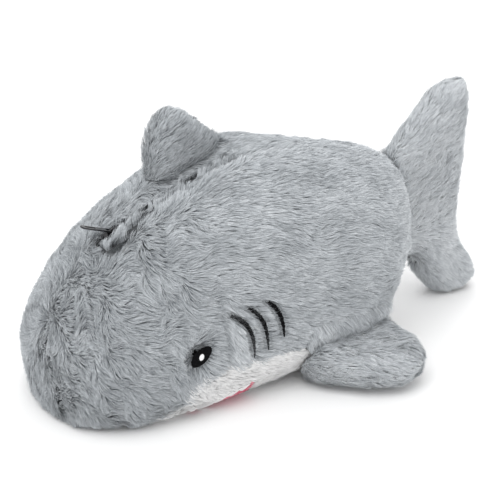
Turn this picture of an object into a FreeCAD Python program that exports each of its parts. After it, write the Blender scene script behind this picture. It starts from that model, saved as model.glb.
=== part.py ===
import FreeCAD, Part
import math
import os

# Plush shark cover that lies on its belly, nose toward -Y, left side toward +X.
# Grey long-pile fabric over white jaw and belly, stuffed fins, a zip beside the
# dorsal fin, and inside it a lining pouch with a small rubber bottle.

V = FreeCAD.Vector

# ---------------------------------------------------------------- dimensions, mm
FABRIC_T = 4.0            # pile fabric, backing and pressed pile together
SEW_GAP = 0.3             # free space between layers
LINING_T = 1.2
PADDING_T = 14.0          # cover face to lining
POUCH_TOP_Z = 92.0
POUCH_FRONT_Y = -150.0

CREASE_LINE = [(-99.0, -10.0), (-100.0, 58.0), (-104.0, 92.0), (-124.0, 200.0)]
SEAM_X = 12.0             # back seam, the zip is set into it

ZIP_START_Y = -150.0      # slider centre when closed
ZIP_START_Z = 134.5
ZIP_ANGLE = 21.0          # climb toward the tail, degrees
ZIP_LENGTH = 100.0        # closed chain behind the slider
ZIP_SLOT_HALF = 6.5
TAPE_HALF = 15.5
TAPE_T = 0.6
TOOTH_PITCH = 3.0
TOOTH_W = 1.25
TOOTH_HALF_T = 1.0
BEAD_IN = 1.6
BEAD_OUT = 2.6
TAB_LENGTH = 26.0
TAB_REST_ANGLE = 41.0     # tab raised from the closed direction

EYE_CENTRE = (-121.0, 58.5)
EYE_LONG = 9.6
EYE_SHORT = 6.2
EYE_TILT = 34.0
STITCH_PROUD = 0.6
STITCH_DEEP = 0.9

GILL_WIDTH = 2.8
GILL_LINES = [
    [(-94.0, 83.5), (-87.0, 79.0), (-80.0, 71.5), (-76.0, 62.5), (-74.5, 46.0)],
    [(-78.0, 85.5), (-71.0, 79.0), (-65.5, 69.5), (-63.0, 60.5), (-62.0, 48.0)],
    [(-62.0, 86.5), (-56.5, 82.0), (-52.0, 75.0), (-49.0, 67.0), (-47.5, 55.0)],
]

DORSAL_X = -9.0
DORSAL_HALF = 13.0
PECTORAL_Z = 20.6
PECTORAL_HALF = 18.4
TAIL_HALF = 17.0
RUMP_R = 130.0            # roundness of the body end the tail is sewn to
FIN_T = 3.0
FILL_GAP = 1.0

BOTTLE_Z = 38.2
BOTTLE_WALL = 2.4
NECK_R = 15.0
INSERT_R = 11.7
INSERT_BORE = 8.7
PLUG_R = 8.0

# Body sections: y, half width, height of the widest point, top, depth of the
# zip valley, bottom, fullness of the upper curve, fullness of the lower curve.
STATIONS = [
    (-214.0, 12.0, 30.0, 46.0, 0.0, 14.0, 2.0, 2.0),
    (-211.0, 30.0, 31.0, 59.0, 0.0, 4.0, 2.0, 2.0),
    (-205.0, 47.0, 32.0, 75.0, 0.0, -4.0, 2.0, 2.2),
    (-194.0, 62.0, 34.0, 92.0, 0.0, -9.0, 2.0, 2.3),
    (-178.0, 73.0, 37.0, 113.0, 0.0, -12.0, 2.0, 2.4),
    (-160.0, 80.0, 40.0, 132.0, 1.5, -13.0, 2.0, 2.5),
    (-140.0, 84.0, 43.0, 147.0, 7.0, -13.0, 2.05, 2.6),
    (-115.0, 86.0, 46.0, 161.0, 10.5, -13.0, 2.15, 2.6),
    (-85.0, 86.0, 49.0, 175.0, 13.0, -13.0, 2.25, 2.6),
    (-50.0, 85.0, 52.0, 184.0, 10.0, -8.0, 2.35, 2.6),
    (-10.0, 84.0, 54.0, 179.5, 3.0, -7.0, 2.4, 2.6),
    (28.0, 82.0, 57.0, 169.5, 0.0, -5.0, 2.45, 2.6),
    (56.0, 76.0, 63.0, 162.0, 0.0, 4.0, 2.45, 2.5),
    (78.0, 65.0, 72.0, 157.0, 0.0, 22.0, 2.4, 2.3),
    (95.0, 53.0, 82.0, 151.0, 0.0, 42.0, 2.3, 2.2),
    (107.0, 39.0, 91.0, 141.0, 0.0, 58.0, 2.1, 2.1),
    (113.0, 24.0, 97.0, 127.0, 0.0, 74.0, 2.0, 2.0),
    (115.0, 14.0, 100.0, 116.0, 0.0, 86.0, 2.0, 2.0),
]
VALLEY_HALF = 13.0
RING_POINTS = 56

# Colour seam between the grey back and the white underside, seen from the side.
WHITE_SEAM = [(-168.0, -6.0), (-153.0, 8.0), (-142.0, 14.0), (-133.0, 24.0),
              (-126.0, 34.0), (-115.0, 40.0), (-98.0, 42.0), (-70.0, 41.5),
              (-44.0, 40.0), (-20.0, 34.0), (20.0, 33.0), (55.0, 38.0),
              (80.0, 52.0), (98.0, 66.0)]
JAW_REAR_Y = -58.0
MOUTH_TOP = [(-170.0, 1.5), (-128.0, 2.0), (-114.0, 4.4), (-102.0, 8.6),
             (-90.0, 13.2), (-80.0, 16.6), (-70.0, 18.4)]
JAW_PLAN = [(0.0, -156.0), (20.0, -150.0), (40.0, -132.0), (50.0, -108.0),
            (54.0, -84.0), (55.6, -70.0)]
LIP_PLAN = [(0.0, -164.0), (26.0, -159.0), (52.0, -146.0), (74.0, -128.0),
            (92.0, -108.0), (96.0, -70.0)]
TOOTH_ROW = [(-112.0, 4.9), (-102.0, 8.7), (-92.0, 12.6), (-82.0, 16.0),
             (-73.0, 18.1)]
TOOTH_DROP = 6.5

# Fin outlines, each with the point of the fin's middle line it puffs away from.
DORSAL_EDGE = [((-111, 148), (-94, 155)), ((-112, 168), (-94, 171)),
               ((-112, 184), (-96, 184)), ((-108, 199), (-95, 194)),
               ((-100, 211), (-92, 200)), ((-88, 215), (-86, 200)),
               ((-74, 207), (-79, 192)), ((-62, 197), (-72, 182)),
               ((-51, 187), (-66, 174)), ((-42, 178), (-60, 166)),
               ((-46, 150), (-64, 152)), ((-78, 142), (-80, 152))]
TAIL_EDGE = [((104, 136), (125, 108)), ((116, 149), (138, 128)),
             ((131, 165), (152, 143)), ((147, 181), (164, 158)),
             ((163, 194), (173, 170)), ((180, 199), (178, 176)),
             ((190, 190), (177, 168)), ((192, 150), (170, 146)),
             ((190, 112), (165, 112)), ((188, 84), (165, 88)),
             ((189, 60), (172, 62)), ((198, 44), (184, 44)),
             ((208, 31), (192, 28)), ((213.6, 17), (195, 21)),
             ((203, 1.8), (188, 19)), ((178, 1.0), (180, 24)),
             ((162, 12), (172, 36)), ((148, 30), (160, 56)),
             ((134, 48), (145, 74)), ((106, 62), (124, 88))]
PECTORAL_EDGE = [((70, -26), (74, -4)), ((85, -25), (86, -2)),
                 ((99, -17), (94, 6)), ((114, -2), (101, 15)),
                 ((126, 13), (107, 23)), ((133.8, 30), (111, 32)),
                 ((131, 49), (110, 38)), ((120, 62), (106, 42)),
                 ((104, 67), (98, 44)), ((88, 66), (88, 44)),
                 ((70, 62), (74, 42)), ((62, 14), (74, 14))]


# ---------------------------------------------------------------- small helpers
def save(shape, node):
    solids = shape.Solids
    if not solids:
        print(node, "is empty")
        return
    if len(solids) != 1:
        print(node, "has", len(solids), "solids")
        solids = sorted(solids, key=lambda s: s.Volume)
        shape = solids[-1]
    else:
        shape = solids[0]
    print("%-24s %10.1f mm3 valid %s" % (node, shape.Volume, shape.isValid()))
    shape.exportStep("parts/" + node + ".step")


def box(x0, x1, y0, y1, z0, z1):
    return Part.makeBox(x1 - x0, y1 - y0, z1 - z0, V(x0, y0, z0))


def smooth_edge(points, closed=False):
    # closed outlines share even parameters, so that lofts through them stay light
    curve = Part.BSplineCurve()
    if closed:
        even = [float(k) for k in range(len(points) + 1)]
        curve.interpolate(Points=points, PeriodicFlag=True, Parameters=even)
    else:
        curve.interpolate(Points=points)
    return curve.toShape()


def side_prism(outline, x0, x1, smooth=False):
    # outline in (y, z), pushed along X
    pts = [V(x0, y, z) for y, z in outline]
    if smooth:
        wire = Part.Wire([smooth_edge(pts, True)])
    else:
        wire = Part.makePolygon(pts + [pts[0]])
    return Part.Face(wire).extrude(V(x1 - x0, 0, 0))


def below_line(line, x_half, z_floor):
    # everything below a smooth line drawn in the side view
    pts = [V(-x_half, y, z) for y, z in line]
    top = smooth_edge(pts)
    a = V(-x_half, line[-1][0], z_floor)
    b = V(-x_half, line[0][0], z_floor)
    edges = [top, Part.makeLine(pts[-1], a), Part.makeLine(a, b), Part.makeLine(b, pts[0])]
    return Part.Face(Part.Wire(edges)).extrude(V(2 * x_half, 0, 0))


def plan_prism(half_line, z0, z1):
    # symmetric U drawn from above, closed across its rear
    right = [V(-x, y, z0) for x, y in reversed(half_line[1:])]
    left = [V(x, y, z0) for x, y in half_line]
    line = right + left
    curve = smooth_edge(line)
    wire = Part.Wire([curve, Part.makeLine(line[-1], line[0])])
    return Part.Face(wire).extrude(V(0, 0, z1 - z0))


# ---------------------------------------------------------------- body volume
def slope(i, k):
    lo = max(i - 1, 0)
    hi = min(i + 1, len(STATIONS) - 1)
    rise = STATIONS[hi][k] - STATIONS[lo][k]
    value = rise / (STATIONS[hi][0] - STATIONS[lo][0])
    return max(-3.0, min(3.0, value))


def inset_station(i, d):
    y, w, zw, zt, valley, zb, nu, nl = STATIONS[i]
    sw, st, sb = slope(i, 1), slope(i, 3), slope(i, 5)
    nw, nt, nb = math.hypot(1, sw), math.hypot(1, st), math.hypot(1, sb)
    yw, yt, yb = y + d * sw / nw, y + d * st / nt, y - d * sb / nb
    yn = yw * 0.5 + yt * 0.3 + yb * 0.2
    w2 = w - d / nw + (yn - yw) * sw
    t2 = zt - d / nt + (yn - yt) * st
    b2 = zb + d / nb + (yn - yb) * sb
    return (yn, w2, zw, t2, valley, b2, nu, nl)


def ring(station):
    y, w, zw, zt, valley, zb, nu, nl = station
    pts = []
    for k in range(RING_POINTS):
        t = -math.pi / 2 + 2 * math.pi * k / RING_POINTS
        c, s = math.cos(t), math.sin(t)
        n = nu if s >= 0 else nl
        x = w * math.copysign(abs(c) ** (2 / n), c)
        if s >= 0:
            z = zw + (zt - zw) * abs(s) ** (2 / n)
            z -= valley * math.exp(-((x - SEAM_X) / VALLEY_HALF) ** 2) * s
        else:
            z = zw - (zw - zb) * abs(s) ** (2 / n)
        pts.append(V(x, y, z))
    return Part.Wire([smooth_edge(pts, True)])


def core(d):
    # the body volume with its face moved in by d, flat underneath
    wires = [ring(inset_station(i, d)) for i in range(len(STATIONS))]
    body = Part.makeLoft(wires, True, False)
    return body.cut(box(-150, 150, -300, 300, -60, max(d, 0.0)))


# ---------------------------------------------------------------- zip
def zip_box(s0, s1, x0, x1, n0, n1):
    # box in the zip's own frame: s along the chain, n out of the back
    return zip_place(Part.makeBox(x1 - x0, s1 - s0, n1 - n0, V(x0, s0, n0)))


def zip_place(shape):
    shape = shape.copy()
    shape.rotate(V(0, 0, 0), V(1, 0, 0), ZIP_ANGLE)
    shape.translate(V(SEAM_X, ZIP_START_Y, ZIP_START_Z))
    return shape


def zip_tape(side):
    lo, hi = BEAD_OUT + 0.05, TAPE_HALF
    a, b = (lo, hi) if side > 0 else (-hi, -lo)
    return zip_box(-14, ZIP_LENGTH + 9, a, b, -TAPE_T / 2, TAPE_T / 2)


def zip_teeth(side):
    # a bead along the tape with teeth reaching across the middle
    start = -1.0 if side > 0 else -1.0 + TOOTH_PITCH / 2
    count = int((ZIP_LENGTH - 2.0) / TOOTH_PITCH)
    pts = [V(side * BEAD_OUT, -11.0, 0), V(side * BEAD_IN, -11.0, 0)]
    for k in range(count):
        s = start + k * TOOTH_PITCH
        pts.append(V(side * BEAD_IN, s, 0))
        pts.append(V(-side * 1.2, s, 0))
        pts.append(V(-side * 1.2, s + TOOTH_W, 0))
        pts.append(V(side * BEAD_IN, s + TOOTH_W, 0))
    pts.append(V(side * BEAD_IN, ZIP_LENGTH, 0))
    pts.append(V(side * BEAD_OUT, ZIP_LENGTH, 0))
    face = Part.Face(Part.makePolygon(pts + [pts[0]]))
    face.translate(V(0, 0, -TOOTH_HALF_T))
    return zip_place(face.extrude(V(0, 0, 2 * TOOTH_HALF_T)))


def zip_stop():
    return zip_box(ZIP_LENGTH + 0.3, ZIP_LENGTH + 3.3, -2.5, 2.5, -1.4, 1.4)


def zip_slider():
    top = zip_box(-7, 6, -4.2, 4.2, 1.3, 2.5)
    bottom = zip_box(-7, 6, -4.2, 4.2, -2.5, -1.3)
    post = zip_box(-6.2, -3.4, -0.9, 0.9, -1.5, 1.5)
    rails = [zip_box(-7, 6, a, b, c, d)
             for a, b in ((3.0, 4.2), (-4.2, -3.0))
             for c, d in ((0.5, 1.4), (-1.4, -0.5))]
    bridge = zip_box(-4, 4, -0.9, 0.9, 2.4, 5.2)
    window = zip_box(-2.4, 2.4, -2, 2, 2.55, 4.4)
    body = top.fuse([bottom, post, bridge] + rails)
    return body.cut(window).removeSplitter()


def zip_pull_tab():
    # bar through the bridge, two arms, then a plate with a lifted end
    bar = Part.makeCylinder(0.65, 6.0, V(-3.0, 0, 0), V(1, 0, 0))
    arms = [Part.makeBox(1.2, 7.0, 1.2, V(a, -6.4, -0.6)) for a in (-3.0, 1.8)]
    blade = Part.makeBox(6.0, TAB_LENGTH - 5.4, 1.2, V(-3.0, -TAB_LENGTH, -0.6))
    ends = [e for e in blade.Edges
            if abs(e.Vertexes[0].Y + TAB_LENGTH) < 0.1
            and abs(e.Vertexes[1].Y + TAB_LENGTH) < 0.1
            and abs(e.Vertexes[0].Z - e.Vertexes[1].Z) > 0.5]
    blade = blade.makeFillet(2.0, ends)
    slot = Part.makeBox(2.4, 9.0, 3.0, V(-1.2, -TAB_LENGTH + 3.0, -1.5))
    tab = bar.fuse(arms + [blade]).cut(slot).removeSplitter()
    tab.rotate(V(0, 0, 0), V(1, 0, 0), -TAB_REST_ANGLE)
    tab.translate(V(0, 0, 3.45))
    return zip_place(tab)


def zip_room():
    # space kept free of cover fabric round the chain and over the tapes
    slot = zip_box(-13, ZIP_LENGTH + 8, -ZIP_SLOT_HALF, ZIP_SLOT_HALF, -9, 40)
    under = zip_box(-16, ZIP_LENGTH + 11, -TAPE_HALF - 0.8, TAPE_HALF + 0.8, -9, 0.6)
    return slot.fuse(under)


# ---------------------------------------------------------------- cover
def crease_front():
    pts = [(-260.0, -10.0)] + CREASE_LINE + [(-260.0, 200.0)]
    return side_prism(pts, -150, 150)


def stitched(outline, d_out, d_in, side, smooth=True):
    # an embroidered patch: an outline pushed into the side of the body
    if side > 0:
        prism = side_prism(outline, 20, 120, smooth)
    else:
        prism = side_prism(outline, -120, -20, smooth)
    return prism.common(core(d_out)).cut(core(d_in))


def pocket(outline, d, side, smooth=True):
    if side > 0:
        prism = side_prism(outline, 20, 120, smooth)
    else:
        prism = side_prism(outline, -120, -20, smooth)
    return prism.cut(core(d))


def ellipse(cy, cz, a, b, tilt, grow=0.0, point=0.0):
    pts = []
    for k in range(20):
        t = 2 * math.pi * k / 20
        u = (a + grow) * math.cos(t)
        v = (b + grow) * math.sin(t)
        if point and abs(t) < 0.4:
            u += point
        r = math.radians(tilt)
        y = cy + u * math.cos(r) - v * math.sin(r)
        z = cz + u * math.sin(r) + v * math.cos(r)
        pts.append((y, z))
    return pts


def ribbon(line, width):
    # closed outline of given width round a centre line, narrow at its ends
    left, right = [], []
    n = len(line)
    for i in range(n):
        a = line[max(i - 1, 0)]
        b = line[min(i + 1, n - 1)]
        ty, tz = b[0] - a[0], b[1] - a[1]
        m = math.hypot(ty, tz)
        h = width / 2 * (0.55 if i in (0, n - 1) else 1.0)
        ny, nz = -tz / m * h, ty / m * h
        left.append((line[i][0] + ny, line[i][1] + nz))
        right.append((line[i][0] - ny, line[i][1] - nz))
    return left + right[::-1]


def tooth_outline():
    # scalloped strip: straight along the lip, a rounded tooth between each two points
    top = [(y, z + 0.2) for y, z in TOOTH_ROW]
    low = []
    for i in range(len(TOOTH_ROW) - 1, 0, -1):
        a, b = TOOTH_ROW[i], TOOTH_ROW[i - 1]
        low.append((a[0], a[1] - 2.2))
        for f, depth in ((0.22, 0.72), (0.5, 1.0), (0.78, 0.72)):
            y = a[0] + (b[0] - a[0]) * f
            z = a[1] + (b[1] - a[1]) * f - TOOTH_DROP * depth
            low.append((y, max(z, 0.6)))
    low.append((TOOTH_ROW[0][0], TOOTH_ROW[0][1] - 2.2))
    return top + low


def build_cover():
    outer = core(0.0)
    inner = core(FABRIC_T)
    skin = outer.cut(inner)
    white = below_line(WHITE_SEAM, 150, -40)
    lower = skin.common(white)
    upper = skin.cut(white).cut(zip_room())

    features = {}
    for side, name in ((1, "left"), (-1, "right")):
        eye = ellipse(*EYE_CENTRE, EYE_LONG, EYE_SHORT, EYE_TILT, point=2.2)
        eye_hole = ellipse(*EYE_CENTRE, EYE_LONG, EYE_SHORT, EYE_TILT, 0.3, 2.2)
        glint = ellipse(EYE_CENTRE[0] + 0.8, EYE_CENTRE[1] + 0.6, 2.8, 2.0, 60)
        glint_hole = ellipse(EYE_CENTRE[0] + 0.8, EYE_CENTRE[1] + 0.6, 2.8, 2.0, 60, 0.2)
        patch = stitched(eye, -STITCH_PROUD, STITCH_DEEP, side)
        features["eye_" + name] = patch.cut(pocket(glint_hole, 0.3, side))
        features["eye_highlight_" + name] = stitched(glint, -1.0, 0.2, side)
        upper = upper.cut(pocket(eye_hole, STITCH_DEEP + 0.2, side))
        for k, line in enumerate(GILL_LINES):
            strip = ribbon(line, GILL_WIDTH)
            hole = ribbon(line, GILL_WIDTH + 0.6)
            key = "gill_%d_%s" % (k + 1, name)
            features[key] = stitched(strip, -STITCH_PROUD, STITCH_DEEP, side)
            upper = upper.cut(pocket(hole, STITCH_DEEP + 0.2, side))

    front = crease_front()
    head = upper.common(front)
    back = upper.cut(front)
    left_side = box(SEAM_X, 200, -300, 300, -50, 300)
    save(head.common(left_side), "head_panel_left")
    save(head.cut(left_side), "head_panel_right")
    save(back.common(left_side), "back_panel_left")
    save(back.cut(left_side), "back_panel_right")
    for node, shape in features.items():
        save(shape, node)

    under_head = lower.common(box(-150, 150, -300, JAW_REAR_Y, -10, 100))
    save(lower.cut(box(-150, 150, -300, JAW_REAR_Y, -10, 100)), "belly_panel")
    jaw_zone = plan_prism(JAW_PLAN + [(56.0, JAW_REAR_Y + 1.0)], -5, 30)
    lip_zone = plan_prism(LIP_PLAN, -5, 60).cut(jaw_zone)
    mouth_zone = lip_zone.common(below_line(MOUTH_TOP, 150, -10))
    save(under_head.common(jaw_zone), "jaw_panel")
    mouth = under_head.common(mouth_zone)
    cheeks = under_head.cut(jaw_zone).cut(mouth_zone)
    save(cheeks.common(box(0, 150, -300, 0, -10, 100)), "cheek_left")
    save(cheeks.common(box(-150, 0, -300, 0, -10, 100)), "cheek_right")
    teeth = tooth_outline()
    for side, name in ((1, "left"), (-1, "right")):
        strip = stitched(teeth, 0.0, 1.3, side, False)
        strip = strip.common(mouth_zone).common(box(-150, 150, -300, 0, 0.5, 60))
        mouth = mouth.cut(pocket(teeth, 1.6, side, False))
        save(strip, "teeth_" + name)
    save(mouth, "mouth_lining")


# ---------------------------------------------------------------- inside
def pouch_volume(d, shift):
    room = box(-150, 150, POUCH_FRONT_Y + shift, 200, -10, POUCH_TOP_Z - shift)
    return core(d).common(room)


def throat(half, s_in, n_top):
    # passage from the zip down to the pouch
    tall = zip_box(-12 + s_in, ZIP_LENGTH + 7 - s_in, -half, half, -140, n_top)
    return tall.cut(box(-150, 150, -300, 300, -100, 60))


def build_inside():
    pouch_out = pouch_volume(PADDING_T, 0.0).fuse(throat(8.5, 0.0, -0.8))
    pouch_in = pouch_volume(PADDING_T + LINING_T, LINING_T).fuse(throat(7.3, 1.2, 5.0))
    save(pouch_out.cut(pouch_in), "pouch_lining")

    stuffing = core(FABRIC_T + SEW_GAP)
    stuffing = stuffing.cut(pouch_volume(PADDING_T - SEW_GAP, -SEW_GAP))
    stuffing = stuffing.cut(throat(8.8, -0.3, 60.0))
    stuffing = stuffing.cut(zip_box(-17, ZIP_LENGTH + 12, -17, 17, -3.2, 60))
    cut_y = -105.0
    front = box(-150, 150, -300, cut_y, -10, 300)
    rear = box(-150, 150, cut_y + 0.3, 300, -10, 300)
    save(stuffing.common(front), "head_filling")
    save(stuffing.common(rear), "body_filling")


def oval_loft(rows, d):
    wires = []
    for y, w, h in rows:
        pts = []
        for k in range(24):
            t = 2 * math.pi * k / 24
            c, s = math.cos(t), math.sin(t)
            n = 2.0 + 1.2 * min(1.0, max(0.0, (w - 20) / 40))
            x = (w - d) * math.copysign(abs(c) ** (2 / n), c)
            z = (h - d) * math.copysign(abs(s) ** (2 / n), s)
            pts.append(V(x, y, BOTTLE_Z + z))
        wires.append(Part.Wire([smooth_edge(pts, True)]))
    return Part.makeLoft(wires, True, False)


def tube(y0, y1, r_out, r_in):
    axis = V(0, 1, 0)
    outer = Part.makeCylinder(r_out, y1 - y0, V(0, y0, BOTTLE_Z), axis)
    if r_in <= 0:
        return outer
    return outer.cut(Part.makeCylinder(r_in, y1 - y0, V(0, y0, BOTTLE_Z), axis))


def build_bottle():
    rows = [(-111, 16.5, 16.2), (-107, 22, 17), (-99, 42, 20), (-88, 55, 21.8),
            (-70, 60, 22), (0, 60, 22), (24, 59, 21.8), (38, 54, 19),
            (46, 42, 14), (49, 26, 9)]
    rows_in = [(-105, 19, 15.5), (-99, 38, 19.5), (-88, 54, 21.8),
               (-70, 60, 22), (0, 60, 22), (22, 59, 21.8), (36, 54, 19),
               (43.5, 42, 14), (46, 26, 9)]
    shell = oval_loft(rows, 0.0).fuse(tube(-120, -108, NECK_R, 0))
    shell = shell.cut(oval_loft(rows_in, BOTTLE_WALL))
    shell = shell.cut(tube(-121, -98, INSERT_R + SEW_GAP, 0))
    save(shell.removeSplitter(), "bottle_body")
    save(tube(-119.8, -101, INSERT_R, INSERT_BORE), "bottle_neck_insert")
    save(tube(-121.8, -120.2, 11.6, PLUG_R + 0.3), "stopper_washer")
    plug = tube(-122.5, -104, PLUG_R, 0)
    flange = tube(-128, -122.1, 13.0, 0)
    wing = box(-11, 11, -136, -127.5, BOTTLE_Z - 3, BOTTLE_Z + 3)
    save(plug.fuse([flange, wing]).removeSplitter(), "bottle_stopper")


# ---------------------------------------------------------------- fins
def puffed(edge, half, inset, axis, centre, side=0):
    # cushion: the outline shrinks toward its middle line away from the centre
    wires = []
    angles = [a for a in (-82, -62, -40, -20, 0, 20, 40, 62, 82) if a * side >= 0]
    for angle in angles:
        t = math.radians(angle)
        k = 0.86 * (1 - math.cos(t))
        pts = []
        for (p, q), (mp, mq) in edge:
            dp, dq = mp - p, mq - q
            m = math.hypot(dp, dq)
            f = min(0.95, (inset / m) + k * (1 - inset / m))
            a, b = p + dp * f, q + dq * f
            c = centre + (half - inset) * math.sin(t)
            pts.append(V(c, a, b) if axis == "x" else V(a, b, c))
        wires.append(Part.Wire([smooth_edge(pts, True)]))
    return Part.makeLoft(wires, True, False)


def build_fin(edge, half, axis, centre, body, names):
    # two cover panels sewn round the edge, and the filling between them
    floor = box(-300, 300, -300, 300, -50, 0.4)
    fill = puffed(edge, half, FIN_T + FILL_GAP, axis, centre)
    for node, side in ((names[0], 1), (names[1], -1)):
        panel = puffed(edge, half, 0.0, axis, centre, side)
        hollow = puffed(edge, half, FIN_T, axis, centre, side)
        cover = panel.cut(hollow).cut(body).cut(floor)
        save(cover, node)
    save(fill.cut(body), names[2])


def mirrored(edge):
    return [((-p, q), (-mp, mq)) for (p, q), (mp, mq) in edge][::-1]


def build_fins():
    body = core(-0.4)
    build_fin(DORSAL_EDGE, DORSAL_HALF, "x", DORSAL_X, body,
              ("dorsal_cover_left", "dorsal_cover_right", "dorsal_filling"))
    rump = Part.makeSphere(RUMP_R, V(0, 116.2 - RUMP_R, 99.5))
    build_fin(TAIL_EDGE, TAIL_HALF, "x", 0.0, rump,
              ("tail_cover_left", "tail_cover_right", "tail_filling"))
    build_fin(PECTORAL_EDGE, PECTORAL_HALF, "z", PECTORAL_Z, body,
              ("pectoral_top_left", "pectoral_under_left", "pectoral_filling_left"))
    build_fin(mirrored(PECTORAL_EDGE), PECTORAL_HALF, "z", PECTORAL_Z, body,
              ("pectoral_top_right", "pectoral_under_right", "pectoral_filling_right"))


def build_zip():
    save(zip_tape(1), "zip_tape_left")
    save(zip_tape(-1), "zip_tape_right")
    save(zip_teeth(1), "zip_teeth_left")
    save(zip_teeth(-1), "zip_teeth_right")
    save(zip_stop(), "zip_stop")
    save(zip_slider(), "zip_slider")
    save(zip_pull_tab(), "zip_pull_tab")


def main():
    os.makedirs("parts", exist_ok=True)
    build_zip()
    build_bottle()
    build_fins()
    build_cover()
    build_inside()


main()
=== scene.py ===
"""Plush shark: furry cover, stuffed fins, embroidered face and a zip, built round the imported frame."""
import math

import bmesh
import bpy
import numpy as np
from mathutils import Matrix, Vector
from mathutils.bvhtree import BVHTree
from mathutils.kdtree import KDTree


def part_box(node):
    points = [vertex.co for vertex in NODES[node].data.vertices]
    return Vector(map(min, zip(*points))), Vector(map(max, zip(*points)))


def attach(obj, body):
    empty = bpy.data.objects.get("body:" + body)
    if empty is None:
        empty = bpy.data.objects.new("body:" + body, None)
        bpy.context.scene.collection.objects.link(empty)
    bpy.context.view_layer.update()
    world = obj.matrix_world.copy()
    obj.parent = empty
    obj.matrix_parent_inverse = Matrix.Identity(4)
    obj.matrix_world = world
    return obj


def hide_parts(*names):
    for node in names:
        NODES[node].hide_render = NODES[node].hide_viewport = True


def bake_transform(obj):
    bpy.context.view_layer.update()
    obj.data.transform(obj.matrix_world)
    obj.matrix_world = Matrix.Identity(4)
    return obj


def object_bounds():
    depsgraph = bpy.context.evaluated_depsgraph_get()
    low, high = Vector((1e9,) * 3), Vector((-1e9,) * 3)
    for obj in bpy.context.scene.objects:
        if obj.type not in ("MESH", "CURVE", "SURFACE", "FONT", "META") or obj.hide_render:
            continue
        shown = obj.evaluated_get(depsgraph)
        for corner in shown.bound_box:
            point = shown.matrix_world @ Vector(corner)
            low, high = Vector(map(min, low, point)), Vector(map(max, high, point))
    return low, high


MM = 0.001
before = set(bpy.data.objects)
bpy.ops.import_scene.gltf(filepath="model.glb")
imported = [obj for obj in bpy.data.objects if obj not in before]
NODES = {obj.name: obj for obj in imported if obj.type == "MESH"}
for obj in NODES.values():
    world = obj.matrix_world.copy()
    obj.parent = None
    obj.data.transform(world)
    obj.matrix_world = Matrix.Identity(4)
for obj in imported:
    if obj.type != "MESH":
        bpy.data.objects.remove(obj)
CAD_LOW, CAD_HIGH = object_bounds()

# ---------------------------------------------------------------- driving sizes, metres
SKIN_VOXEL = 3.0 * MM
INNER_GAP = 9.0 * MM          # a wall this far in front of a face marks it as an inner one
RAY_LIFT = 0.4 * MM

LONG_PILE = 11.5 * MM
FIN_PILE = 10.5 * MM
ZIP_PILE = 10.5 * MM
JOIN_PILE = 15.0 * MM
SHORT_PILE = 5.5 * MM
PINK_PILE = 3.5 * MM
HAIR_WIDTH = 0.44 * MM

LONG_DENSITY = 1.6            # hairs per square millimetre
SHORT_DENSITY = 1.7
ZIP_DENSITY = 2.2
JOIN_DENSITY = 1.5
PIECE_HAIRS = 38000           # hairs in one mesh piece

LONG_LIFT = (44, 26, 8)       # degrees off the cloth of a hair's three lengths
FIN_LIFT = (42, 24, 6)
ZIP_LIFT = (72, 52, 26)
JOIN_LIFT = (56, 38, 14)
SHORT_LIFT = (60, 35, 15)
LIFT_SPREAD = 12

SKIN_DROP = 3.2 * MM          # backing cloth below the face that the pile makes
SHORT_DROP = 1.5 * MM
FIN_DROP = 2.5 * MM
SHORT_TUFT = 8.0              # square millimetres that share one tuft

GREY_TONES = ((0.265, 0.285, 0.303), (0.375, 0.399, 0.420), (0.480, 0.507, 0.530),
              (0.585, 0.613, 0.637), (0.710, 0.736, 0.757))
WHITE_TONES = ((0.80, 0.80, 0.80), (0.88, 0.88, 0.88), (0.94, 0.94, 0.935))
PINK_TONES = ((0.66, 0.12, 0.18), (0.80, 0.19, 0.27), (0.88, 0.30, 0.37))

CAMERA_TARGET = (0.0, -24 * MM, 88 * MM)
CAMERA_AZIMUTH = 58.0
CAMERA_ELEVATION = 24.0
CAMERA_DISTANCE = 1.0
CAMERA_LENS = 88.9

COVER_GREY = ["head_panel_left", "head_panel_right", "back_panel_left", "back_panel_right"]
COVER_WHITE = ["cheek_left", "cheek_right", "jaw_panel", "belly_panel"]
FINS = {
    "dorsal": ("dorsal_fin", ["dorsal_cover_left", "dorsal_cover_right"]),
    "tail": ("tail", ["tail_cover_left", "tail_cover_right"]),
    "pectoral_left": ("pectoral_left", ["pectoral_top_left", "pectoral_under_left"]),
    "pectoral_right": ("pectoral_right", ["pectoral_top_right", "pectoral_under_right"]),
}


# ---------------------------------------------------------------- numpy helpers
def unit(v):
    return v / np.maximum(np.linalg.norm(v, axis=-1, keepdims=True), 1e-9)


def smooth_noise(points, wavelength, seed, waves=14):
    """Sum of random plane waves: a smooth field from about -1 to 1 at each point."""
    rng = np.random.default_rng(seed)
    k = unit(rng.normal(size=(waves, 3))) * (2 * math.pi / wavelength)
    k *= rng.uniform(0.7, 1.35, (waves, 1))
    phase = rng.uniform(0, 2 * math.pi, waves)
    return np.sin(points @ k.T + phase).sum(1) / math.sqrt(waves) * 0.8


def tangent(direction, normal):
    return unit(direction - (direction * normal).sum(1, keepdims=True) * normal)


def turn(direction, normal, angle):
    side = np.cross(normal, direction)
    return direction * np.cos(angle)[:, None] + side * np.sin(angle)[:, None]


# ---------------------------------------------------------------- mesh helpers
def new_object(name, mesh):
    obj = bpy.data.objects.new(name, mesh)
    bpy.context.scene.collection.objects.link(obj)
    return obj


def joined_copy(name, names):
    bm = bmesh.new()
    for n in names:
        bm.from_mesh(NODES[n].data)
    mesh = bpy.data.meshes.new(name)
    bm.to_mesh(mesh)
    bm.free()
    return new_object(name, mesh)


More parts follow.
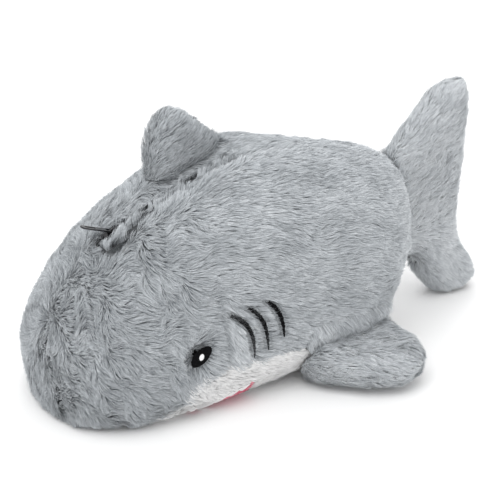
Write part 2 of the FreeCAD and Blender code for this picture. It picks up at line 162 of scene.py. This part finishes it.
def apply_modifiers(obj):
    graph = bpy.context.evaluated_depsgraph_get()
    mesh = bpy.data.meshes.new_from_object(obj.evaluated_get(graph))
    obj.modifiers.clear()
    old = obj.data
    obj.data = mesh
    bpy.data.meshes.remove(old)
    obj.data.name = obj.name


def remesh(obj, voxel, smooth=4):
    mod = obj.modifiers.new("remesh", "REMESH")
    mod.mode = "VOXEL"
    mod.voxel_size = voxel
    mod.use_smooth_shade = True
    if smooth:
        soft = obj.modifiers.new("smooth", "SMOOTH")
        soft.iterations = smooth
        soft.factor = 0.5
    apply_modifiers(obj)


def arrays(mesh):
    n = len(mesh.vertices)
    co = np.empty(n * 3, np.float32)
    mesh.vertices.foreach_get("co", co)
    mesh.calc_loop_triangles()
    tri = np.empty(len(mesh.loop_triangles) * 3, np.int32)
    mesh.loop_triangles.foreach_get("vertices", tri)
    return co.reshape(-1, 3).astype(float), tri.reshape(-1, 3)


def scatter(area, density_mm2, rng):
    """Faces picked at random by area, and the three corner weights of a random point in each."""
    count = int(area.sum() * 1e6 * density_mm2)
    face = rng.choice(len(area), count, p=area / area.sum())
    r1, r2 = np.sqrt(rng.random(count)), rng.random(count)
    return face, np.stack([1 - r1, r1 * (1 - r2), r1 * r2], 1)


class Strip:
    """The upper faces of flat pieces, such as the zip tapes, within reach of the zip's middle line."""

    def __init__(self, names, reach):
        self.tri, self.co, area = [], [], []
        for n in names:
            co, tri = arrays(NODES[n].data)
            a, b, c = co[tri[:, 0]], co[tri[:, 1]], co[tri[:, 2]]
            cross = np.cross(b - a, c - a)
            up = unit(cross)[:, 2] > 0.7
            self.tri.append(tri[up] + sum(len(v) for v in self.co))
            self.co.append(co)
            area.append(np.linalg.norm(cross, axis=1)[up] / 2)
        self.tri = np.concatenate(self.tri)
        self.co = np.concatenate(self.co)
        self.area = np.concatenate(area)
        self.reach = reach

    def sample(self, density_mm2, _wanted, seed):
        """Random points of the faces that lie near the zip and have no cloth above them."""
        face, w = scatter(self.area, density_mm2, np.random.default_rng(seed))
        t = self.tri[face]
        p = (self.co[t] * w[:, :, None]).sum(1)
        a, b, c = self.co[t[:, 0]], self.co[t[:, 1]], self.co[t[:, 2]]
        n = unit(np.cross(b - a, c - a))
        near = np.abs(p[:, 0] - ZIP_X) < self.reach
        for i in np.flatnonzero(near):
            above = CLOTH.ray_cast(Vector(p[i] + n[i] * 0.3 * MM), Vector(n[i]), 30 * MM)
            near[i] = above[0] is None
        return p[near], n[near], t[near]


class Surface:
    """Outer side of a hollow cover: triangles, vertex normals and the node each triangle belongs to."""

    def __init__(self, name, names, across=None):
        """across is a fin's thin direction. A face with a clear way out along it is an outer one."""
        obj = joined_copy(name, names)
        remesh(obj, SKIN_VOXEL)
        co, tri = arrays(obj.data)
        tree = BVHTree.FromPolygons([Vector(p) for p in co], [tuple(map(int, t)) for t in tri])
        a, b, c = co[tri[:, 0]], co[tri[:, 1]], co[tri[:, 2]]
        face_n = unit(np.cross(b - a, c - a))
        mid = (a + b + c) / 3
        keep = np.ones(len(tri), bool)
        for i in range(len(tri)):
            start = Vector(mid[i] + face_n[i] * RAY_LIFT)
            hit = tree.ray_cast(start, Vector(face_n[i]))
            if hit[0] is not None and hit[3] > INNER_GAP:
                ways = () if across is None else (Vector(across), -Vector(across))
                keep[i] = any(tree.ray_cast(start, way)[0] is None for way in ways)
        self.co, self.tri = co, tri[keep]
        self.mid = mid[keep]
        self.area = np.linalg.norm(np.cross(b - a, c - a), axis=1)[keep] / 2
        normal = np.zeros_like(co)
        for k in range(3):
            np.add.at(normal, self.tri[:, k], face_n[keep] * self.area[:, None])
        self.normal = unit(normal)
        self.owner = owner_of(self.mid, names)
        bpy.data.objects.remove(obj)

    def sample(self, density_mm2, wanted, seed):
        """Random points spread evenly over the wanted triangles, with smooth normals."""
        pick = np.flatnonzero(wanted)
        chosen, w = scatter(self.area[pick], density_mm2, np.random.default_rng(seed))
        face = pick[chosen]
        t = self.tri[face]
        p = (self.co[t] * w[:, :, None]).sum(1)
        n = unit((self.normal[t] * w[:, :, None]).sum(1))
        return p, n, face


def owner_of(points, names):
    """For each point, the place in names of the node nearest to it."""
    verts, faces, owner = [], [], []
    for i, n in enumerate(names):
        co, tri = arrays(NODES[n].data)
        base = len(verts)
        verts.extend(Vector(p) for p in co)
        faces.extend((int(a) + base, int(b) + base, int(c) + base) for a, b, c in tri)
        owner.extend([i] * len(tri))
    tree = BVHTree.FromPolygons(verts, faces)
    return np.array([owner[tree.find_nearest(Vector(p))[2]] for p in points])


# ---------------------------------------------------------------- materials
def principled(name, base, roughness, metallic=0.0, sheen=0.0, gloss=0.5):
    m = bpy.data.materials.new(name)
    m.use_nodes = True
    b = m.node_tree.nodes["Principled BSDF"]
    b.inputs["Base Color"].default_value = (*base, 1)
    b.inputs["Roughness"].default_value = roughness
    b.inputs["Metallic"].default_value = metallic
    b.inputs["Specular IOR Level"].default_value = gloss
    if sheen:
        b.inputs["Sheen Weight"].default_value = sheen
        b.inputs["Sheen Roughness"].default_value = 0.6
    return m, b


def patterned(name, dark, light, roughness, scale, bump, kind="NOISE", **kw):
    """Procedural material: two-tone pattern and bump from object coordinates."""
    m, b = principled(name, light, roughness, **kw)
    nt = m.node_tree
    coord = nt.nodes.new("ShaderNodeTexCoord")
    if kind == "NOISE":
        tex = nt.nodes.new("ShaderNodeTexNoise")
        tex.inputs["Scale"].default_value = scale
        tex.inputs["Detail"].default_value = 6
    else:
        tex = nt.nodes.new("ShaderNodeTexWave")
        tex.inputs["Scale"].default_value = scale
        tex.inputs["Distortion"].default_value = 1.5
        tex.inputs["Detail"].default_value = 2
    nt.links.new(coord.outputs["Object"], tex.inputs["Vector"])
    ramp = nt.nodes.new("ShaderNodeValToRGB")
    ramp.color_ramp.elements[0].position = 0.3
    ramp.color_ramp.elements[0].color = (*dark, 1)
    ramp.color_ramp.elements[1].position = 0.7
    ramp.color_ramp.elements[1].color = (*light, 1)
    fac = tex.outputs["Fac"] if "Fac" in tex.outputs else tex.outputs[0]
    nt.links.new(fac, ramp.inputs["Fac"])
    nt.links.new(ramp.outputs["Color"], b.inputs["Base Color"])
    bump_node = nt.nodes.new("ShaderNodeBump")
    bump_node.inputs["Strength"].default_value = 0.6
    bump_node.inputs["Distance"].default_value = bump
    nt.links.new(fac, bump_node.inputs["Height"])
    nt.links.new(bump_node.outputs["Normal"], b.inputs["Normal"])
    return m


def pile_tones(name, tones):
    return [principled("%s_%d" % (name, i), t, 0.9, sheen=0.1, gloss=0.2)[0] for i, t in enumerate(tones)]


MAT = {
    "grey": pile_tones("pile_grey", GREY_TONES),
    "white": pile_tones("pile_white", WHITE_TONES),
    "pink": pile_tones("pile_pink", PINK_TONES),
    "grey_backing": patterned("backing_grey", (0.16, 0.17, 0.18), (0.26, 0.27, 0.28), 0.95, 600, 0.4 * MM),
    "white_backing": patterned("backing_white", (0.6, 0.6, 0.6), (0.8, 0.8, 0.8), 0.95, 600, 0.4 * MM),
    "pink_backing": patterned("backing_pink", (0.5, 0.1, 0.16), (0.7, 0.2, 0.27), 0.95, 600, 0.4 * MM),
    "thread": patterned("thread_black", (0.001, 0.001, 0.0015), (0.007, 0.007, 0.008), 0.6, 900, 0.1 * MM,
                        gloss=0.06),
    "thread_white": patterned("thread_white", (0.75, 0.75, 0.76), (0.92, 0.92, 0.92), 0.5, 900, 0.1 * MM),
    "felt": patterned("felt_white", (0.74, 0.74, 0.74), (0.92, 0.92, 0.91), 0.95, 500, 0.5 * MM),
    "metal": patterned("gunmetal", (0.02, 0.02, 0.023), (0.07, 0.07, 0.075), 0.32, 300, 0.02 * MM,
                       metallic=0.9),
    "tape": patterned("zip_tape", (0.03, 0.032, 0.035), (0.09, 0.095, 0.10), 0.9, 700, 0.2 * MM,
                      kind="WAVE"),
    "stuffing": patterned("fibre_fill", (0.66, 0.66, 0.64), (0.9, 0.9, 0.88), 0.95, 180, 1.5 * MM),
    "lining": patterned("lining_weave", (0.30, 0.32, 0.34), (0.46, 0.48, 0.50), 0.85, 800, 0.2 * MM,
                        kind="WAVE"),
    "rubber": patterned("bottle_rubber", (0.25, 0.27, 0.29), (0.36, 0.38, 0.40), 0.55, 90, 0.3 * MM),
    "brass": patterned("insert_brass", (0.55, 0.38, 0.16), (0.78, 0.60, 0.30), 0.35, 250, 0.05 * MM,
                       metallic=1.0),
    "washer": patterned("washer_rubber", (0.03, 0.03, 0.03), (0.07, 0.07, 0.07), 0.6, 300, 0.05 * MM),
    "plastic": patterned("stopper_plastic", (0.70, 0.70, 0.68), (0.84, 0.84, 0.82), 0.5, 200, 0.05 * MM),
}


# ---------------------------------------------------------------- pile
def hair_mesh(name, p, n, d, length, width, tone, mats, seed, lift, clump, clump_mm2, density):
    """Tapered ribbons: root, two bends and a tip, drawn together into tufts."""
    rng = np.random.default_rng(seed)
    count = len(p)
    side = unit(np.cross(d, n))
    twist = rng.uniform(-0.5, 0.5, count)[:, None]
    side = unit(side + n * twist)
    step = (length / 3)[:, None]
    rows = [p]
    for angle in lift:
        a = np.radians(angle + rng.uniform(-LIFT_SPREAD, LIFT_SPREAD, count))[:, None]
        rows.append(rows[-1] + step * (d * np.cos(a) + n * np.sin(a)))
    every = max(1, int(clump_mm2 * density))
    centres = rng.permutation(count)[: max(1, count // every)]
    tree = KDTree(len(centres))
    for i, c in enumerate(centres):
        tree.insert(p[c], i)
    tree.balance()
    near = centres[np.array([tree.find(q)[1] for q in p])]
    amount = clump * rng.uniform(0.5, 1.0, count)[:, None]
    for k, w in ((1, 0.12), (2, 0.45), (3, 0.8)):
        rows[k] = rows[k] * (1 - amount * w) + rows[k][near] * (amount * w)
    tone = tone + 0.34 * rng.normal(size=count)[near] + 0.4 * rng.normal(size=count)
    half = (width / 2)[:, None] * side
    ring = [rows[0] - half, rows[0] + half, rows[1] - half, rows[1] + half,
            rows[2] - half * 0.75, rows[2] + half * 0.75, rows[3]]
    co = np.stack(ring, 1)
    co[:, :, 2] = np.maximum(co[:, :, 2], CAD_LOW[2] + 0.15 * MM)
    faces = np.array([(0, 1, 3), (0, 3, 2), (2, 3, 5), (2, 5, 4), (4, 5, 6)], np.int64)
    made = []
    pieces = max(1, math.ceil(count / PIECE_HAIRS))
    order = np.argsort(p[:, 1], kind="stable")
    top = len(mats) - 1
    for part in range(pieces):
        ids = order[part * count // pieces:(part + 1) * count // pieces]
        m = len(ids)
        verts = co[ids].reshape(-1, 3)
        tri = (faces[None] + 7 * np.arange(m)[:, None, None]).reshape(-1, 3)
        mesh = bpy.data.meshes.new("%s_%d" % (name, part + 1))
        mesh.vertices.add(len(verts))
        mesh.vertices.foreach_set("co", verts.astype(np.float32).ravel())
        mesh.loops.add(len(tri) * 3)
        mesh.loops.foreach_set("vertex_index", tri.astype(np.int32).ravel())
        mesh.polygons.add(len(tri))
        mesh.polygons.foreach_set("loop_start", np.arange(0, len(tri) * 3, 3, dtype=np.int32))
        # Painted shade at the roots: the root segment of each hair takes a tone one step darker; the tip
        # takes a lighter tone.
        level = np.stack([tone[ids] - 1.0, tone[ids] - 1.0, tone[ids], tone[ids], tone[ids] + 0.7], 1)
        level = np.clip(np.rint(level), 0, top).astype(np.int32)
        mesh.polygons.foreach_set("material_index", level.ravel())
        mesh.polygons.foreach_set("use_smooth", np.ones(len(tri), bool))
        for mat in mats:
            mesh.materials.append(mat)
        mesh.update(calc_edges=True)
        lean = n[ids] * 0.8
        normals = np.repeat(lean[:, None], 7, 1)
        normals = normals + side[ids][:, None] * np.array([-.25, .25, -.25, .25, -.25, .25, 0])[None, :, None]
        normals[:, 2:] += d[ids][:, None] * -0.12
        mesh.normals_split_custom_set_from_vertices(unit(normals).reshape(-1, 3).astype(np.float32))
        made.append(new_object("%s_%d" % (name, part + 1), mesh))
    return made


def skin_piece(name, surface, wanted, drop, material):
    """The backing cloth: the outer triangles pulled in under the pile."""
    tri = surface.tri[wanted]
    used = np.unique(tri)
    back = np.full(len(surface.co), -1)
    back[used] = np.arange(len(used))
    verts = surface.co[used] - surface.normal[used] * drop
    verts[:, 2] = np.maximum(verts[:, 2], CAD_LOW[2] + 0.1 * MM)
    mesh = bpy.data.meshes.new(name)
    mesh.from_pydata(verts.tolist(), [], back[tri].tolist())
    mesh.polygons.foreach_set("use_smooth", np.ones(len(tri), bool))
    mesh.materials.append(material)
    mesh.update()
    return new_object(name, mesh)


def keep_clear(points, outline_objects, reach):
    """Distance from each point to the nearest of the CAD nodes named, up to reach."""
    best = np.full(len(points), reach)
    for n in outline_objects:
        lo, hi = (np.array(v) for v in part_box(n))
        near = np.flatnonzero(((points > lo - reach) & (points < hi + reach)).all(1))
        if not len(near):
            continue
        co, tri = arrays(NODES[n].data)
        tree = BVHTree.FromPolygons([Vector(p) for p in co], [tuple(map(int, t)) for t in tri])
        for i in near:
            hit = tree.find_nearest(Vector(points[i]), reach)
            if hit[0] is not None:
                best[i] = min(best[i], hit[3])
    return best


EYE_CENTRES = [np.array(sum(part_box(n), Vector()) / 2) for n in ("eye_left", "eye_right")]


def body_flow(p, n):
    """Pile lies back along the flanks, is tousled on the head and falls away behind the cheek seam."""
    x, y, z = p.T
    head = np.clip((-90 * MM - y) / (60 * MM), 0, 1)
    d = np.zeros_like(p)
    d[:, 1] = 1.0
    d[:, 2] = -0.25 - 0.25 * head
    d[:, 0] += np.tanh(x / (14 * MM)) * 0.5 * head
    over = (y > ZIP_FRONT - 14 * MM) & (y < ZIP_REAR + 12 * MM) & (z > 110 * MM)
    beside = np.exp(-((x - ZIP_X) / (15 * MM)) ** 2) * over
    d[:, 0] += np.sign(ZIP_X - x) * 1.3 * beside
    from_seam = y - np.interp(z, (58 * MM, 92 * MM, 200 * MM), (-100 * MM, -104 * MM, -124 * MM))
    low = np.clip((104 * MM - z) / (14 * MM), 0, 1) * np.clip((z - 36 * MM) / (10 * MM), 0, 1)
    behind = np.exp(-((from_seam - 9 * MM) / (9 * MM)) ** 2) * low
    d[:, 2] -= 1.5 * behind
    seam = np.exp(-(from_seam / (3.0 * MM)) ** 2) * low
    for centre in EYE_CENTRES:
        away = p - centre
        far = np.linalg.norm(away, axis=1)
        d += unit(away) * (2.6 * np.exp(-(far / (16 * MM)) ** 4))[:, None]
    root = np.exp(-((y - 18 * MM) / (46 * MM)) ** 4) * np.clip((64 * MM - z) / (26 * MM), 0, 1)
    root = root * (np.abs(x) > 60 * MM)
    d[:, 0] += np.sign(x) * 1.6 * root
    d = tangent(d + 1e-4, n)
    angle = smooth_noise(p, 38 * MM, 11) * (0.25 + 0.8 * head) * (1 - behind)
    angle += smooth_noise(p, 15 * MM, 12) * (0.25 + 0.4 * head)
    rear = np.clip((y - 20 * MM) / (60 * MM), 0, 1)
    # Tone offset of the pile: painted shade darkens the head and the parting along the cheek seam, painted
    # light brightens the flank by the pectoral fin roots, and the pile is also lighter just behind the seam
    # and towards the rear.
    shade = 0.5 * root - 0.75 * head - 1.6 * seam + 0.6 * behind + 0.25 * rear - 0.15
    return turn(d, n, angle), shade, 3.5 * MM * seam


# ---------------------------------------------------------------- body
chain_low, chain_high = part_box("zip_teeth_left")
ZIP_X = (chain_low.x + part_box("zip_teeth_right")[1].x) / 2
ZIP_FRONT, ZIP_REAR = chain_low.y, chain_high.y
body = Surface("cover", COVER_GREY + COVER_WHITE + ["mouth_lining"])
grey = body.owner < len(COVER_GREY)
pink = body.owner == len(COVER_GREY) + len(COVER_WHITE)
white = ~grey & ~pink

FACE = [n for n in NODES if n.startswith(("eye_left", "eye_right", "gill_"))]
TEETH = ["teeth_left", "teeth_right"]


def grow(name, surface, wanted, density, length, lift, mats, flow, seed, tone, ride, avoid=(), clump=0.5,
         width=HAIR_WIDTH, drop=SKIN_DROP, clump_mm2=7.0):
    """Hairs over the wanted faces. Each row of avoid names nodes, a bare distance and a stub length."""
    p, n, face = surface.sample(density, wanted, seed)
    d, shade, sunk = flow(p, n)
    rng = np.random.default_rng(seed + 1)
    size = length * rng.uniform(0.75, 1.12, len(p))
    size *= 1 + 0.12 * smooth_noise(p, 22 * MM, seed + 2)
    for names, bare, stub in avoid:
        root = keep_clear(p, names, 14 * MM)
        tip = keep_clear(p + d * (size * 0.85)[:, None], names, 3 * MM)
        tip = np.minimum(tip, keep_clear(p + d * (size * 0.45)[:, None], names, 3 * MM))
        short = np.minimum(size, np.maximum(root - bare * 0.5, stub))
        size = np.where(root < bare, 0.0, np.where((tip < 1.2 * MM) | (root < 1.5 * MM), short, size))
    under = np.clip((n[:, 2] + 0.75) * 6, 0.25, 1)
    low = p[:, 2] < CAD_LOW[2] + 6 * MM
    size = np.where(low, size * under, size)
    ok = size > 1.0 * MM
    p, n, d, size = p[ok], n[ok], d[ok], size[ok]
    drop = drop + sunk[ok]
    t = tone + shade[ok] + 0.4 * smooth_noise(p, 34 * MM, seed + 3) + 0.35 * smooth_noise(p, 9 * MM, seed + 4)
    wide = width * rng.uniform(0.8, 1.2, len(p))
    objs = hair_mesh(name, p - n * drop[:, None], n, d, size, wide, t, mats, seed + 5,
                     lift, clump, clump_mm2, density)
    for o in objs:
        if ride:
            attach(o, ride)
    return objs


long_avoid = ((FACE, 0.2 * MM, 3.6 * MM), (["zip_slider", "zip_pull_tab"], 1.4 * MM, 2.5 * MM))
pile_grey = grow("pile_grey", body, grey, LONG_DENSITY, LONG_PILE, LONG_LIFT, MAT["grey"], body_flow, 100,
                 2.0, "cover", long_avoid)
lip = pink & (body.mid[:, 1] < -121 * MM)
mouth_avoid = ((TEETH, 0.3 * MM, 1.5 * MM), (["mouth_lining"], 0.0, 1.6 * MM))
pile_white = grow("pile_white", body, white | lip, SHORT_DENSITY, SHORT_PILE, SHORT_LIFT, MAT["white"],
                  body_flow, 200, 1.0, "cover", mouth_avoid, drop=SHORT_DROP, clump_mm2=SHORT_TUFT)
pile_pink = grow("pile_pink", body, pink & ~lip, SHORT_DENSITY, PINK_PILE, SHORT_LIFT, MAT["pink"],
                 body_flow, 300, 1.0, "cover", drop=SHORT_DROP, clump_mm2=SHORT_TUFT)


def slot_flow(p, n):
    """Pile pushed up through the zip opening by the two cloth edges."""
    d = np.zeros_like(p)
    d[:, 1] = 0.8
    d[:, 0] = np.sign(p[:, 0] - ZIP_X) * -0.25
    d = tangent(d, n)
    # The pile in the opening is painted a tone darker: painted shade of the slot.
    return turn(d, n, smooth_noise(p, 12 * MM, 31) * 0.7), np.full(len(p), -0.55), np.zeros(len(p))


verts, faces = [], []
for node in COVER_GREY:
    co, tri = arrays(NODES[node].data)
    faces += [tuple(int(i) + len(verts) for i in t) for t in tri]
    verts += [Vector(v) for v in co]
CLOTH = BVHTree.FromPolygons(verts, faces)
lips = Strip(["zip_tape_left", "zip_tape_right"], 16 * MM)
pile_grey += grow("pile_zip", lips, None, ZIP_DENSITY, ZIP_PILE, ZIP_LIFT, MAT["grey"], slot_flow, 350, 2.0,
                  "cover", ((["zip_slider", "zip_pull_tab"], 1.2 * MM, 1.8 * MM),), drop=0.0)

for name, wanted, mat, drop, slot, gone in (
        ("skin_grey", grey, MAT["grey_backing"], SKIN_DROP, "fur_grey", COVER_GREY),
        ("skin_white", white | lip, MAT["white_backing"], SHORT_DROP, "fur_white", COVER_WHITE),
        ("skin_pink", pink & ~lip, MAT["pink_backing"], SHORT_DROP, "pink_fabric", ["mouth_lining"])):
    piece = skin_piece(name, body, wanted, drop, mat)
    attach(piece, "cover")
    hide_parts(*gone)


# ---------------------------------------------------------------- fins
def fin_flow(direction, shade, split=None):
    """Pile along one direction. Below the height split it turns down, as on the tail's lower lobe."""
    def flow(p, n):
        d = np.tile(np.array(direction, float), (len(p), 1))
        if split is not None:
            low = np.clip((split - p[:, 2]) / (36 * MM) + 0.5, 0, 1)[:, None]
            d = d * (1 - low) + np.array([0.0, 0.8, -0.55]) * low
        d = tangent(d, n)
        angle = smooth_noise(p, 30 * MM, 21) * 0.3 + smooth_noise(p, 12 * MM, 22) * 0.25
        return turn(d, n, angle), np.full(len(p), shade), np.zeros(len(p))
    return flow


# The second value is each fin's tone offset, painted shade and light: the dorsal fin darker, the tail and the
# pectoral fins lighter.
FIN_FLOW = {
    "dorsal": fin_flow((0.0, 0.75, 0.55), -0.6),
    "tail": fin_flow((0.0, 0.7, 0.7), 0.9, split=70 * MM),
    "pectoral_left": fin_flow((0.75, 0.6, 0.0), 0.6),
    "pectoral_right": fin_flow((-0.75, 0.6, 0.0), 0.6),
}


def fin_bend(obj):
    """Bakes the object's transform into its mesh."""
    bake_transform(obj)


for index, (name, (body_name, covers)) in enumerate(FINS.items()):
    thickness = (0, 0, 1) if name.startswith("pectoral") else (1, 0, 0)
    surface = Surface(name + "_cover", covers, across=thickness)
    top = np.ones(len(surface.tri), bool)
    seed = 400 + 40 * index
    made = grow("pile_" + name, surface, top, LONG_DENSITY, FIN_PILE, FIN_LIFT, MAT["grey"], FIN_FLOW[name],
                seed, 2.0, None)
    skin = skin_piece("skin_" + name, surface, top, FIN_DROP, MAT["grey_backing"])
    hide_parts(*covers)
    for o in made + [skin]:
        fin_bend(o)


def over_fin_flow(p, n):
    """Flank pile that hangs over the seam of a pectoral fin."""
    d = tangent(np.tile(np.array([0.0, 0.45, -1.0]), (len(p), 1)), n)
    # Its tone offset lifts it a little: painted light over the shaded seam.
    return turn(d, n, smooth_noise(p, 20 * MM, 41) * 0.45), np.full(len(p), 0.25), np.zeros(len(p))


for side, word in ((1, "left"), (-1, "right")):
    y, z = body.mid[:, 1], body.mid[:, 2]
    beside_fin = (y > -24 * MM) & (y < 58 * MM) & (z > 33 * MM) & (z < 56 * MM)
    zone = grey & (side * body.mid[:, 0] > 52 * MM) & beside_fin
    for o in grow("pile_join_" + word, body, zone, JOIN_DENSITY, JOIN_PILE, JOIN_LIFT, MAT["grey"],
                  over_fin_flow, 360 + side, 2.0, "cover"):
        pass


# ---------------------------------------------------------------- embroidery
body_tree = BVHTree.FromPolygons([Vector(p) for p in body.co], [tuple(map(int, t)) for t in body.tri])


def on_side(y, z, side, out):
    """Point of the cover's side at (y, z), lifted by out."""
    hit = body_tree.ray_cast(Vector((side * 0.3, y, z)), Vector((-side, 0, 0)))
    if hit[0] is None:
        hit = body_tree.find_nearest(Vector((side * 0.085, y, z)))
    return hit[0] + hit[1] * out


def stitch_rows(name, rows, side, width, height, material, base):
    """Each row is a thread lying over the cloth: a low rounded rib that dives in at both ends."""
    verts, faces = [], []
    for a, b in rows:
        a, b = Vector(a), Vector(b)
        along = (b - a).normalized()
        across = Vector((-along.y, along.x)) * width / 2
        cuts = 6
        start = len(verts)
        for k in range(cuts + 1):
            f = k / cuts
            q = a.lerp(b, f)
            rise = base + height * math.sin(math.pi * min(max(f, 0.04), 0.96)) ** 0.5
            for s, lift in ((-1, -0.25 * MM), (-0.5, 0.1 * MM), (0.5, 0.1 * MM), (1, -0.25 * MM)):
                w = q + across * s
                verts.append(on_side(w.x, w.y, side, rise + lift))
        for k in range(cuts):
            for c in range(3):
                i = start + k * 4 + c
                quad = (i, i + 4, i + 5, i + 1)
                faces.append(quad if side > 0 else quad[::-1])
    mesh = bpy.data.meshes.new(name)
    mesh.from_pydata([tuple(v) for v in verts], [], faces)
    mesh.polygons.foreach_set("use_smooth", np.ones(len(faces), bool))
    mesh.materials.append(material)
    mesh.update()
    return new_object(name, mesh)


def patch_rows(centre, long_r, short_r, tilt, pitch, point=0.0):
    """Parallel stitches across an oval, along its short way."""
    rows = []
    u_dir = Vector((math.cos(tilt), math.sin(tilt)))
    v_dir = Vector((-math.sin(tilt), math.cos(tilt)))
    count = int(2 * long_r / pitch)
    for k in range(count + 1):
        u = -long_r + (k + 0.5) * 2 * long_r / (count + 1)
        h = short_r * math.sqrt(max(0.0, 1 - (u / long_r) ** 2))
        if point and u > 0:
            h = min(h, short_r * (1 - (u / (long_r + point)) ** 1.6) + 0.3 * MM)
        c = Vector(centre) + u_dir * u
        slant = u_dir * 0.12 * h
        rows.append((tuple(c - v_dir * h - slant), tuple(c + v_dir * h + slant)))
    return rows


def node_centre(name):
    lo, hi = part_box(name)
    return (lo + hi) / 2


THREAD = 0.62 * MM
for side, word in ((1, "left"), (-1, "right")):
    c = node_centre("eye_" + word)
    rows = patch_rows((c.y + 1 * MM, c.z - 1 * MM), 9.9 * MM, 5.8 * MM, math.radians(34), 0.5 * MM, 3 * MM)
    eye = stitch_rows("eye_stitches_" + word, rows, side, THREAD, 1.0 * MM, MAT["thread"], 0.9 * MM)
    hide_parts("eye_" + word)
    g = node_centre("eye_highlight_" + word)
    rows = patch_rows((g.y + 1.0 * MM, g.z - 1.8 * MM), 2.5 * MM, 1.8 * MM, math.radians(60), 0.45 * MM)
    glint = stitch_rows("eye_glint_" + word, rows, side, THREAD, 0.9 * MM, MAT["thread_white"], 1.9 * MM)
    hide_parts("eye_highlight_" + word)
    for o in (eye, glint):
        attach(o, "cover")


def centre_line(node, steps):
    """Middle line of a gill strip, from its mesh: the mean (y, z) at even heights."""
    co, _ = arrays(NODES[node].data)
    yz = co[:, 1:]
    mean = yz.mean(0)
    cov = np.cov((yz - mean).T)
    axis = np.linalg.eigh(cov)[1][:, 1]
    if axis[1] < 0:
        axis = -axis
    t = (yz - mean) @ axis
    other = (yz - mean) @ np.array([-axis[1], axis[0]])
    fit = np.polyfit(t, other, 3)
    ts = np.linspace(t.min() + 0.8 * MM, t.max() - 0.8 * MM, steps)
    bend = np.polyval(fit, ts)
    return mean + ts[:, None] * axis + bend[:, None] * np.array([-axis[1], axis[0]])


for side, word in ((1, "left"), (-1, "right")):
    for k in (1, 2, 3):
        uneven = np.random.default_rng(800 + k)
        node = "gill_%d_%s" % (k, word)
        line = centre_line(node, 60)
        rows = []
        for i in range(1, len(line) - 1):
            t = unit((line[i + 1] - line[i - 1])[None])[0]
            nrm = np.array([-t[1], t[0]])
            f = i / (len(line) - 1)
            h = (1.35 + 0.75 * f) * MM * (math.sin(math.pi * f) ** 0.3)
            ha, hb = h + uneven.uniform(-0.35, 0.45, 2) * MM
            a, b = line[i] - nrm * ha - t * 0.4 * MM, line[i] + nrm * hb + t * 0.4 * MM
            rows.append((tuple(a), tuple(b)))
        gill = stitch_rows("gill_stitches_%d_%s" % (k, word), rows, side, THREAD, 0.9 * MM, MAT["thread"],
                           1.2 * MM)
        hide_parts(node)
        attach(gill, "cover")


# ---------------------------------------------------------------- inner soft pieces
def soft_copy(name, node, ride, voxel, lumps, seed):
    """Filling: a softened copy of the solid, pulled in unevenly, and further inside the fins."""
    obj = joined_copy(name, [node])
    remesh(obj, voxel, 3)
    mesh = obj.data
    co, _ = arrays(mesh)
    nrm = np.empty(len(co) * 3, np.float32)
    mesh.vertices.foreach_get("normal", nrm)
    inward = 2.0 * MM if ride in FINS else 0.2 * MM
    pull = (smooth_noise(co, 18 * MM, seed) * 0.5 + 0.5) * lumps + inward
    co = co - nrm.reshape(-1, 3) * pull[:, None]
    mesh.vertices.foreach_set("co", co.astype(np.float32).ravel())
    mesh.materials.clear()
    mesh.materials.append(MAT["stuffing"])
    mesh.update()
    if ride in FINS:
        fin_bend(obj)
    else:
        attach(obj, ride)
    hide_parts(node)


soft_copy("head_fibre", "head_filling", "cover", 4 * MM, 1.2 * MM, 701)
soft_copy("body_fibre", "body_filling", "cover", 4 * MM, 1.2 * MM, 702)
for k, (node, ride) in enumerate((("dorsal_filling", "dorsal"), ("tail_filling", "tail"),
                                  ("pectoral_filling_left", "pectoral_left"),
                                  ("pectoral_filling_right", "pectoral_right"))):
    soft_copy(node.replace("filling", "fibre"), node, ride, 3 * MM, 1.0 * MM, 710 + k)

KEPT = {
    "metal": ["zip_slider", "zip_pull_tab", "zip_teeth_left", "zip_teeth_right", "zip_stop"],
    "tape": ["zip_tape_left", "zip_tape_right"],
    "felt": ["teeth_left", "teeth_right"],
    "lining": ["pouch_lining"],
    "rubber": ["bottle_body"],
    "brass": ["bottle_neck_insert"],
    "washer": ["stopper_washer"],
    "plastic": ["bottle_stopper"],
}
for key, names in KEPT.items():
    for n in names:
        o = NODES[n]
        o.data.materials.clear()
        o.data.materials.append(MAT[key])


# ---------------------------------------------------------------- stage
def studio():
    """A pale floor, a white sky and two large soft lights."""
    half = 6.0
    mesh = bpy.data.meshes.new("floor")
    z = CAD_LOW[2]
    corners = [(-half, -half, z), (half, -half, z), (half, half, z), (-half, half, z)]
    mesh.from_pydata(corners, [], [(0, 1, 2, 3)])
    floor = new_object("floor", mesh)
    m, _ = principled("floor_white", (0.93, 0.93, 0.93), 0.9)
    mesh.materials.append(m)
    world = bpy.data.worlds.new("studio")
    bpy.context.scene.world = world
    world.use_nodes = True
    world.node_tree.nodes["Background"].inputs["Color"].default_value = (1, 1, 1, 1)
    world.node_tree.nodes["Background"].inputs["Strength"].default_value = 0.95
    bpy.context.scene.view_settings.view_transform = "Standard"
    for name, place, aim, wide, power in (
            ("key", (0.5, -0.7, 1.7), (0, 0, 0.05), 1.4, 16.0),
            ("back", (-1.2, 0.9, 1.5), (0, 0, 0.05), 1.4, 10.0)):
        light = bpy.data.lights.new(name, "AREA")
        light.size = wide
        light.energy = power
        o = new_object(name, light)
        o.location = place
        o.rotation_euler = (Vector(aim) - Vector(place)).to_track_quat("-Z", "Y").to_euler()


def camera():
    a, e = math.radians(CAMERA_AZIMUTH), math.radians(CAMERA_ELEVATION)
    back = Vector((math.sin(a) * math.cos(e), -math.cos(a) * math.cos(e), math.sin(e)))
    data = bpy.data.cameras.new("camera")
    data.lens = CAMERA_LENS
    data.sensor_width = 36
    data.clip_end = 50
    cam = new_object("camera", data)
    cam.location = Vector(CAMERA_TARGET) + back * CAMERA_DISTANCE
    cam.rotation_euler = (-back).to_track_quat("-Z", "Y").to_euler()
    bpy.context.scene.camera = cam


studio()
camera()
